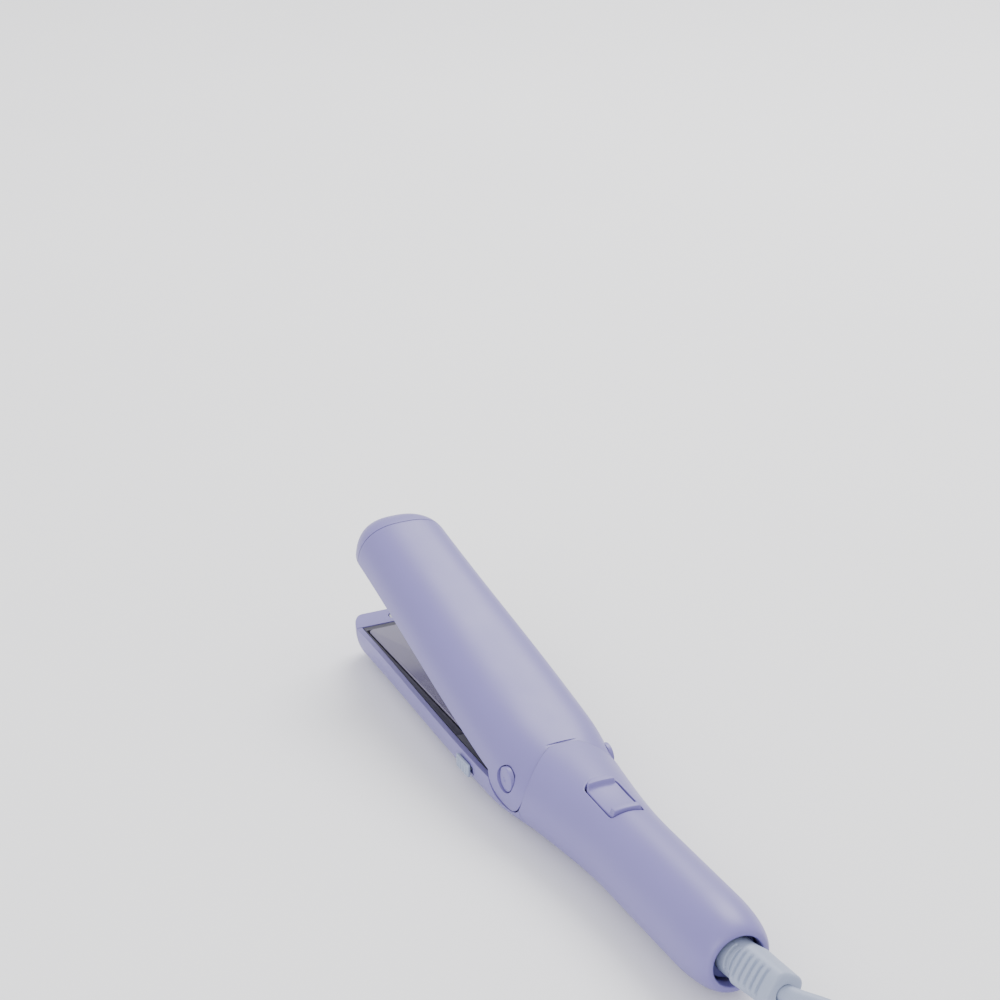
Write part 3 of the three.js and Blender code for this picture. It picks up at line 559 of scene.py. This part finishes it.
def hank_run(lane, level, side, outward, lane_to=None):
    """One straight pass of the hank: the sides are pulled in by a cosine wave and the middle lies a little
    higher, on the tie. It runs outward or back, and may move to another lane near its end."""
    t = np.linspace(0, 1, 30)
    lanes = lane + ((lane_to or lane) - lane) * step((t - 0.6) / 0.4)
    place_along = t if outward else 1 - t
    pull = HANK_PINCH * (1 - np.cos(2 * np.pi * place_along)) / 2
    lift = TIE_LIFT * step((0.3 - np.abs(place_along - 0.5)) / 0.16)
    return np.stack([HANK_X + HANK_RUN * place_along, side * (lanes - pull), level + lift], -1)


def hank_loop(x, facing, radius, level, radius_span=(0, 1), level_span=(0, 1)):
    """A half turn round the hank's end from one side to the other. Radius and level may change, each over
    its own share of the turn."""
    t = np.linspace(0, 1, 26)[1:-1]
    r = radius[0] + (radius[1] - radius[0]) * step((t - radius_span[0]) / np.ptp(radius_span))
    z = level[0] + (level[1] - level[0]) * step((t - level_span[0]) / np.ptp(level_span))
    angle = np.pi * t
    return np.stack([x + facing * r * np.sin(angle), facing * r * np.cos(angle), z], -1)


def cord_line():
    """The whole cord: out of the strain relief, down to the table, five turns of the hank and up over the
    tie into the plug. The rough line is then made even, a point every 2 mm."""
    inside = SWIVEL + np.outer([BOOT_REACH - 2.2, BOOT_REACH - 1.0], AXIS)
    parts = [inside, EXIT + LEAD_ROUTE / MM]
    far = HANK_X + HANK_RUN
    turns = [(OUTER, 0), (INNER, 0), (INNER, 1), (OUTER, 1), (OUTER, 2)]
    changes = [((0.5, 1), (0, 1)), ((0, 1), (0.16, 0.5)), ((0, 0.34), (0, 1)), ((0, 1), (0, 0.26))]
    for turn, (lane, layer) in enumerate(turns):
        level = LEVELS[layer]
        last = turn == len(turns) - 1
        parts.append(hank_run(lane, level, 1, True))
        parts.append(hank_loop(far, 1, (lane, lane), (level, level)))
        parts.append(hank_run(lane, level, -1, False, INNER if last else None))
        if not last:
            following, above = turns[turn + 1]
            radius_span, level_span = changes[turn]
            levels = (level, LEVELS[above])
            parts.append(hank_loop(HANK_X, -1, (lane, following), levels, radius_span, level_span))
    parts.append(hank_loop(HANK_X, -1, (INNER, INNER), (LEVELS[2], LEVELS[2])))
    t = np.linspace(0, 1, 24)
    pull = HANK_PINCH * (1 - np.cos(2 * np.pi * t * PLUG_FROM / HANK_RUN)) / 2
    side = np.maximum(INNER - pull, 0) * (1 - step((t - 0.25) / 0.55))
    rise = LEVELS[2] + (PLUG_Z - LEVELS[2]) * step(t / 0.72)
    parts.append(np.stack([HANK_X + (PLUG_FROM + 4) * t, side, rise], -1))
    line = np.vstack(parts)
    for spacing in (4.0, 2.0):
        line = smooth_line(line, spacing)
    return line


def smooth_line(line, spacing):
    """The line with evenly spaced points, each then averaged with its neighbours twice."""
    reach = np.concatenate([[0], np.cumsum(np.linalg.norm(np.diff(line, axis=0), axis=1))])
    marks = np.linspace(0, reach[-1], int(round(reach[-1] / spacing)) + 1)
    even = np.stack([np.interp(marks, reach, line[:, k]) for k in range(3)], -1)
    for _ in range(2):
        even[1:-1] = (even[:-2] + 2 * even[1:-1] + even[2:]) / 4
    return even


def swept(name, line, radius, around=24):
    """A round tube along a line: each ring stands across the line's direction there."""
    forward = np.gradient(line, axis=0)
    forward /= np.linalg.norm(forward, axis=1, keepdims=True)
    side = np.cross(forward, [0, 0, 1])
    side /= np.linalg.norm(side, axis=1, keepdims=True)
    up = np.cross(side, forward)
    angle = np.linspace(0, 2 * np.pi, around, endpoint=False)
    ring = side[:, None] * np.cos(angle)[:, None] + up[:, None] * np.sin(angle)[:, None]
    return lofted(name, line[:, None] + radius * ring)


def tie():
    """A flat strap round the hank's middle: a slim section carried round a superellipse of power 7, along
    the outward direction of its curve."""
    around, power, half_thick = 128, 7, 0.6
    low, high = (np.array(corner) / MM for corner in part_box("cord_tie"))
    middle = (low + high) / 2
    half_length, half_wide, half_high = (high - low) / 2 - [0, half_thick, half_thick]
    angle = np.linspace(0, 2 * np.pi, around, endpoint=False)
    cos, sin = np.cos(angle), np.sin(angle)
    size = (np.abs(cos) ** power + np.abs(sin) ** power) ** (-1 / power)
    out = np.stack([np.sign(cos) * np.abs(cos * size) ** (power - 1) / half_wide,
                    np.sign(sin) * np.abs(sin * size) ** (power - 1) / half_high], -1)
    out /= np.linalg.norm(out, axis=1, keepdims=True)
    turn = np.linspace(0, 2 * np.pi, 24, endpoint=False)
    along, thick = bend(np.cos(turn), 6) * half_length, bend(np.sin(turn), 4) * half_thick
    rings = np.zeros((around, len(turn), 3))
    rings[..., 0] = middle[0] + along
    rings[..., 1] = middle[1] + (cos * size * half_wide)[:, None] + out[:, :1] * thick
    rings[..., 2] = middle[2] + (sin * size * half_high)[:, None] + out[:, 1:] * thick
    return lofted("tie", rings, True)


def plug():
    """The plug's moulding along x: a ribbed neck that opens into a flat body with hollowed grips, each
    section a superellipse."""
    start = HANK_X + PLUG_FROM
    body = start + 14
    x = np.concatenate([np.arange(0, 15, 0.22), np.arange(15, 44, 0.7), np.linspace(44, 47, 12)])
    wide = np.interp(x, [0, 12, 14, 17, 22, 28, 36, 44, 47], [4.5, 5.4, 6.4, 9.6, 12.4, 13, 12.2, 12.6, 12.6])
    wide = np.convolve(np.pad(wide, 2, "edge"), np.ones(5) / 5, "valid")
    high = np.interp(x, [0, 12, 16, 20, 47], [4.5, 5.2, 5.9, 6.5, 6.5])
    over = np.clip((x - 45) / 2, 0, 1)
    shrink = 1.8 * (1 - np.sqrt(1 - over ** 2))
    ribs = 0.35 * (0.5 + 0.5 * np.cos(2 * np.pi * x / 2.2)) * (x < 12.2)
    power = 2 + 2.2 * step((x - 12) / 10)
    angle = np.linspace(0, 2 * np.pi, 96, endpoint=False)
    y = bend(np.cos(angle), power[:, None]) * (wide - shrink - ribs)[:, None]
    z = bend(np.sin(angle), power[:, None]) * (high - shrink - ribs)[:, None]
    grip = np.abs(np.cos(angle)) * step((7 - np.abs(x - 32)) / 5)[:, None]
    groove = 0.5 + 0.5 * np.cos(2 * np.pi * x / 3)
    y = y * (1 - 0.045 * grip * groove[:, None])
    rings = np.zeros((*y.shape, 3))
    rings[..., 0] = (body - 14 + x)[:, None]
    rings[..., 1] = y
    rings[..., 2] = PLUG_Z + z
    return lofted("plug", rings)


# ---- materials ----

def linear(code):
    """Scene colour from a hexadecimal screen colour."""
    values = np.array([int(code[k:k + 2], 16) for k in (0, 2, 4)]) / 255
    return (*np.where(values <= 0.04045, values / 12.92, ((values + 0.055) / 1.055) ** 2.4), 1.0)


def node(tree, kind, **settings):
    """A shader node whose own settings, or else the sockets of that name, are given values."""
    made = tree.nodes.new(kind)
    for name, value in settings.items():
        if hasattr(made, name):
            setattr(made, name, value)
        else:
            made.inputs[name.replace("_", " ")].default_value = value
    return made


def effect(name, inputs, outputs):
    """An empty shader node group with named number inputs, and outputs that are numbers or normals."""
    tree = bpy.data.node_groups.new(name, "ShaderNodeTree")
    for label, value in inputs.items():
        socket = tree.interface.new_socket(label, in_out="INPUT", socket_type="NodeSocketFloat")
        socket.default_value = value
    for label, kind in outputs.items():
        tree.interface.new_socket(label, in_out="OUTPUT", socket_type=kind)
    return tree, tree.nodes.new("NodeGroupInput"), tree.nodes.new("NodeGroupOutput")


def grain_group():
    """Moulded grain: a fine noise for height, and a slow noise that varies the gloss and tone."""
    number = "NodeSocketFloat"
    tree, given, out = effect("moulded_grain", {"Scale": 1500, "Patch Scale": 30},
                              {"Height": number, "Patches": number})
    place_on = node(tree, "ShaderNodeTexCoord")
    fine = node(tree, "ShaderNodeTexNoise", Detail=3.0, Roughness=0.55)
    slow = node(tree, "ShaderNodeTexNoise", Detail=4.0, Roughness=0.6)
    for texture, label in ((fine, "Scale"), (slow, "Patch Scale")):
        tree.links.new(place_on.outputs["Object"], texture.inputs["Vector"])
        tree.links.new(given.outputs[label], texture.inputs["Scale"])
    tree.links.new(fine.outputs["Fac"], out.inputs["Height"])
    tree.links.new(slow.outputs["Fac"], out.inputs["Patches"])
    return tree


def edge_group():
    """Soft edges: a normal rounded over a small radius, and a broken mask of the edges it turns at."""
    tree, given, out = effect("soft_edges", {"Radius": 0.0003, "Amount": 0.3},
                              {"Normal": "NodeSocketVector", "Wear": "NodeSocketFloat"})
    rounded = node(tree, "ShaderNodeBevel", samples=6)
    flat = node(tree, "ShaderNodeNewGeometry")
    across = node(tree, "ShaderNodeVectorMath", operation="DOT_PRODUCT")
    spread = node(tree, "ShaderNodeMapRange")
    for label, value in {"From Min": 0.995, "From Max": 0.85, "To Min": 0.0, "To Max": 1.0}.items():
        spread.inputs[label].default_value = value
    place_on = node(tree, "ShaderNodeTexCoord")
    broken = node(tree, "ShaderNodeTexNoise", Scale=260.0, Detail=4.0)
    worn = node(tree, "ShaderNodeMath", operation="MULTIPLY")
    scaled = node(tree, "ShaderNodeMath", operation="MULTIPLY")
    tree.links.new(given.outputs["Radius"], rounded.inputs["Radius"])
    tree.links.new(rounded.outputs["Normal"], across.inputs[0])
    tree.links.new(flat.outputs["Normal"], across.inputs[1])
    tree.links.new(across.outputs["Value"], spread.inputs["Value"])
    tree.links.new(place_on.outputs["Object"], broken.inputs["Vector"])
    tree.links.new(spread.outputs["Result"], worn.inputs[0])
    tree.links.new(broken.outputs["Fac"], worn.inputs[1])
    tree.links.new(worn.outputs["Value"], scaled.inputs[0])
    tree.links.new(given.outputs["Amount"], scaled.inputs[1])
    tree.links.new(rounded.outputs["Normal"], out.inputs["Normal"])
    tree.links.new(scaled.outputs["Value"], out.inputs["Wear"])
    return tree


def brushed_group():
    """Brushed lines along the object's length: noise stretched along x."""
    tree, given, out = effect("brushed_lines", {"Scale": 60}, {"Height": "NodeSocketFloat"})
    place_on = node(tree, "ShaderNodeTexCoord")
    stretch = node(tree, "ShaderNodeMapping")
    stretch.inputs["Scale"].default_value = (0.5, 30, 30)
    lines = node(tree, "ShaderNodeTexNoise", Detail=4.0, Roughness=0.7)
    tree.links.new(place_on.outputs["Object"], stretch.inputs["Vector"])
    tree.links.new(stretch.outputs["Vector"], lines.inputs["Vector"])
    tree.links.new(given.outputs["Scale"], lines.inputs["Scale"])
    tree.links.new(lines.outputs["Fac"], out.inputs["Height"])
    return tree


GRAIN, EDGES, BRUSHED = grain_group(), edge_group(), brushed_group()


def placed(tree, group, **values):
    """A shared effect put into a material with its own values."""
    made = tree.nodes.new("ShaderNodeGroup")
    made.node_tree = group
    for label, value in values.items():
        made.inputs[label.replace("_", " ")].default_value = value
    return made


def finish_of(name, colour, rough, metal=0.0, tone=0.05, grain=1500.0, depth=0.02, patch=30.0,
              worn="e8e8f2", wear=0.25, brushed=0.0, coat=0.0, coat_rough=0.2):
    """A material from the shared effects: tone and gloss vary in slow patches, the grain makes a bump of
    depth in millimetres, and the edges are softened and a little lighter where they rub."""
    made = bpy.data.materials.new(name)
    made.use_nodes = True
    tree = made.node_tree
    shader = tree.nodes["Principled BSDF"]
    shader.inputs["Metallic"].default_value = metal
    shader.inputs["Coat Weight"].default_value = coat
    shader.inputs["Coat Roughness"].default_value = coat_rough
    surface = placed(tree, GRAIN, Scale=grain, Patch_Scale=patch)
    edges = placed(tree, EDGES, Amount=wear)
    plain = linear(colour)
    shade = node(tree, "ShaderNodeMix", data_type="RGBA")
    shade.inputs[6].default_value = tuple(v * (1 - tone) for v in plain[:3]) + (1,)
    shade.inputs[7].default_value = tuple(min(1, v * (1 + tone)) for v in plain[:3]) + (1,)
    rubbed = node(tree, "ShaderNodeMix", data_type="RGBA")
    rubbed.inputs[7].default_value = linear(worn)
    gloss = node(tree, "ShaderNodeMapRange")
    spread = {"From Min": 0.3, "From Max": 0.7, "To Min": rough - 0.05, "To Max": rough + 0.05}
    for label, value in spread.items():
        gloss.inputs[label].default_value = value
    bump = node(tree, "ShaderNodeBump", Strength=1.0, Distance=depth * MM)
    links = tree.links
    links.new(surface.outputs["Patches"], shade.inputs[0])
    links.new(shade.outputs[2], rubbed.inputs[6])
    links.new(edges.outputs["Wear"], rubbed.inputs[0])
    links.new(rubbed.outputs[2], shader.inputs["Base Color"])
    links.new(surface.outputs["Patches"], gloss.inputs["Value"])
    links.new(gloss.outputs["Result"], shader.inputs["Roughness"])
    if brushed:
        lines = placed(tree, BRUSHED, Scale=brushed)
        links.new(lines.outputs["Height"], bump.inputs["Height"])
    else:
        links.new(surface.outputs["Height"], bump.inputs["Height"])
    links.new(edges.outputs["Normal"], bump.inputs["Normal"])
    links.new(bump.outputs["Normal"], shader.inputs["Normal"])
    return made


MATERIALS = {
    "shell": finish_of("satin_lavender", "7870ac", 0.42, tone=0.03, depth=0.012, grain=1800, wear=0.12,
                       worn="9a93c8", coat=0.08, coat_rough=0.35),
    "dark_plastic": finish_of("heat_resistant_plastic", "3a3848", 0.55, tone=0.12, depth=0.03, worn="6a6878"),
    "inner_plastic": finish_of("blue_violet_plastic", "5a5894", 0.5, tone=0.08, depth=0.02, worn="7c7ab0"),
    "cord_plastic": finish_of("soft_grey_cord", "98a2ba", 0.5, tone=0.04, depth=0.02, grain=1100, wear=0.1,
                              worn="e0e4ea"),
    "plate_coat": finish_of("ceramic_plate_coat", "77718c", 0.24, metal=0.75, tone=0.06, depth=0.004,
                            brushed=60, worn="b8b2c6", wear=0.4, coat=0.6, coat_rough=0.12),
    "steel": finish_of("brushed_steel", "b9bbbf", 0.33, metal=1.0, depth=0.006, brushed=90, worn="e6e6e8"),
    "brass": finish_of("contact_brass", "c7a95a", 0.34, metal=1.0, tone=0.1, depth=0.006, worn="ead79a"),
    "ceramic": finish_of("heater_ceramic", "e9e5da", 0.68, tone=0.06, depth=0.03, grain=700, worn="ffffff"),
    "silicone": finish_of("red_silicone", "b4553a", 0.62, tone=0.08, depth=0.03, worn="cc7a60", wear=0.1),
    "board": finish_of("green_board", "2f6b4a", 0.5, tone=0.2, depth=0.01, patch=160,
                       worn="5c9a76", coat=0.4),
    "wire": finish_of("wire_sleeve", "d8d5cf", 0.55, tone=0.06, depth=0.02, worn="efeeea", wear=0.1),
}


def carry_nodes():
    """Gives each carried node its slot's material."""
    for part in frame["nodes"].values():
        for holder in part.material_slots:
            slot = holder.material.name.split(".")[0]
            if slot in MATERIALS:
                holder.material = MATERIALS[slot]


def softened(name, width, slot, body):
    """A carried node's shape with its edges rounded: its triangles are merged into flat faces, and a bevel
    rounds each sharp edge."""
    source = frame["nodes"][name]
    piece = bpy.data.objects.new(name + "_moulded", source.data.copy())
    bpy.context.scene.collection.objects.link(piece)
    piece.matrix_world = source.matrix_world
    bpy.context.view_layer.update()
    piece.data.transform(piece.matrix_world)
    piece.matrix_world = Matrix.Identity(4)
    work = bmesh.new()
    work.from_mesh(piece.data)
    bmesh.ops.remove_doubles(work, verts=work.verts, dist=2e-6)
    bmesh.ops.dissolve_limit(work, angle_limit=np.radians(1), verts=work.verts, edges=work.edges)
    work.to_mesh(piece.data)
    work.free()
    bevel = piece.modifiers.new("soft_edges", "BEVEL")
    bevel.width = width * MM
    bevel.segments = 2
    bevel.limit_method = "ANGLE"
    bevel.angle_limit = np.radians(40)
    depsgraph = bpy.context.evaluated_depsgraph_get()
    depsgraph.update()
    shaped = bpy.data.meshes.new_from_object(piece.evaluated_get(depsgraph))
    piece.modifiers.clear()
    piece.data = shaped
    return finished(piece, name + "_moulded", body, slot, (name,), sharp=40)


# ---- the camera ----

AZIMUTH, ELEVATION = np.radians(64.43), np.radians(23.59)
CAMERA_FROM_RIM = np.array([579.2, -366.7, 467.6])


def add_camera():
    """A camera above and behind the tail, placed from the tail's rim."""
    data = bpy.data.cameras.new("view")
    data.lens, data.sensor_width = 86.4, 36
    data.clip_start, data.clip_end = 0.01, 50
    camera = bpy.data.objects.new("view", data)
    bpy.context.scene.collection.objects.link(camera)
    back = Vector((np.sin(AZIMUTH) * np.cos(ELEVATION), -np.cos(AZIMUTH) * np.cos(ELEVATION),
                   np.sin(ELEVATION)))
    camera.rotation_euler = back.to_track_quat("Z", "Y").to_euler()
    camera.location = Vector((np.array([RIM_X, 0, AXIS_Z]) + CAMERA_FROM_RIM) * MM)
    bpy.context.scene.camera = camera


def add_softbox(name, location, target, size, watts):
    """A round area light that faces its target."""
    data = bpy.data.lights.new(name, "AREA")
    data.shape, data.size, data.energy = "DISK", size, watts
    light = bpy.data.objects.new(name, data)
    bpy.context.scene.collection.objects.link(light)
    light.location = location
    light.rotation_euler = (Vector(location) - Vector(target)).to_track_quat("Z", "Y").to_euler()


def add_studio():
    """A pale floor and soft light from a high window behind, a wide one in front and the room."""
    half = 3.0
    corners = np.array([[-1, -1, 0], [1, -1, 0], [1, 1, 0], [-1, 1, 0]]) * half / MM
    floor = piece_of("floor", corners, [[0, 1, 2, 3]])
    pale = bpy.data.materials.new("pale_floor")
    pale.use_nodes = True
    tree = pale.node_tree
    shader = tree.nodes["Principled BSDF"]
    shader.inputs["Roughness"].default_value = 0.7
    cloud = node(tree, "ShaderNodeTexNoise", Scale=3.0, Detail=3.0)
    place_on = node(tree, "ShaderNodeTexCoord")
    tint = node(tree, "ShaderNodeMix", data_type="RGBA")
    tint.inputs[6].default_value = linear("f2f2f3")
    tint.inputs[7].default_value = linear("fafafa")
    tree.links.new(place_on.outputs["Object"], cloud.inputs["Vector"])
    tree.links.new(cloud.outputs["Fac"], tint.inputs[0])
    tree.links.new(tint.outputs[2], shader.inputs["Base Color"])
    floor.data.materials.append(pale)
    world = bpy.data.worlds.new("room")
    world.use_nodes = True
    world.node_tree.nodes["Background"].inputs["Color"].default_value = (0.97, 0.97, 1.0, 1)
    world.node_tree.nodes["Background"].inputs["Strength"].default_value = 1.3
    bpy.context.scene.world = world
    add_softbox("window", (-0.9, 1.0, 1.7), (0.05, 0, 0), 1.4, 44)
    add_softbox("front_fill", (1.3, -1.5, 1.2), (0.05, 0, 0), 1.4, 20)


# ---- the making ----

add_camera()

LINE = cord_line()
plug_body = finished(plug(), "plug_moulding", "handle", "cord_plastic", ("plug_body",))
strap = finished(tie(), "hank_tie", "handle", "dark_plastic", ("cord_tie",))
cord = swept("mains_cord", LINE, CORD_D / 2)
finished(cord, "mains_cord", None, "cord_plastic", ("cord_lead", "cord_hank"))
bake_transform(cord)
finished(boot(), "strain_relief_boot", "relief", "cord_plastic", ("strain_relief",))

finished(handle_top(), "handle_cover", "handle", "shell", ("handle_top_shell",))
finished(underside(), "underside_cover", "handle", "shell", ("lower_housing",))
finished(opened(upper_cover()), "upper_arm_cover", "upper_arm", "shell", ("upper_arm_shell",))
finished(cool_tip(-1), "lower_tip", "handle", "shell", ("lower_cool_tip",))
finished(opened(cool_tip(1)), "upper_tip", "upper_arm", "shell", ("upper_cool_tip",))
finished(switch_key(), "switch_key", "switch", "shell", ("rocker_switch",))
finished(heater_plate(-1), "lower_plate_skin", "lower_plate", "plate_coat", ("lower_heater_plate",))
finished(opened(heater_plate(1)), "upper_plate_skin", "upper_plate", "plate_coat", ("upper_heater_plate",))
for side, end in ((-1, "left"), (1, "right")):
    finished(hinge_dome(side), "hinge_dome_" + end, "upper_arm", "shell", ("hinge_cap_" + end,))

carry_nodes()
for name, width, slot, body in (
        ("lock_slider", 0.2, "cord_plastic", "lock"), ("lower_liner", 0.2, "dark_plastic", "handle"),
        ("upper_liner", 0.2, "dark_plastic", "upper_arm"),
        ("lower_plate_tray", 0.25, "dark_plastic", "handle"),
        ("upper_plate_tray", 0.25, "dark_plastic", "upper_arm")):
    softened(name, width, slot, body)

add_studio()
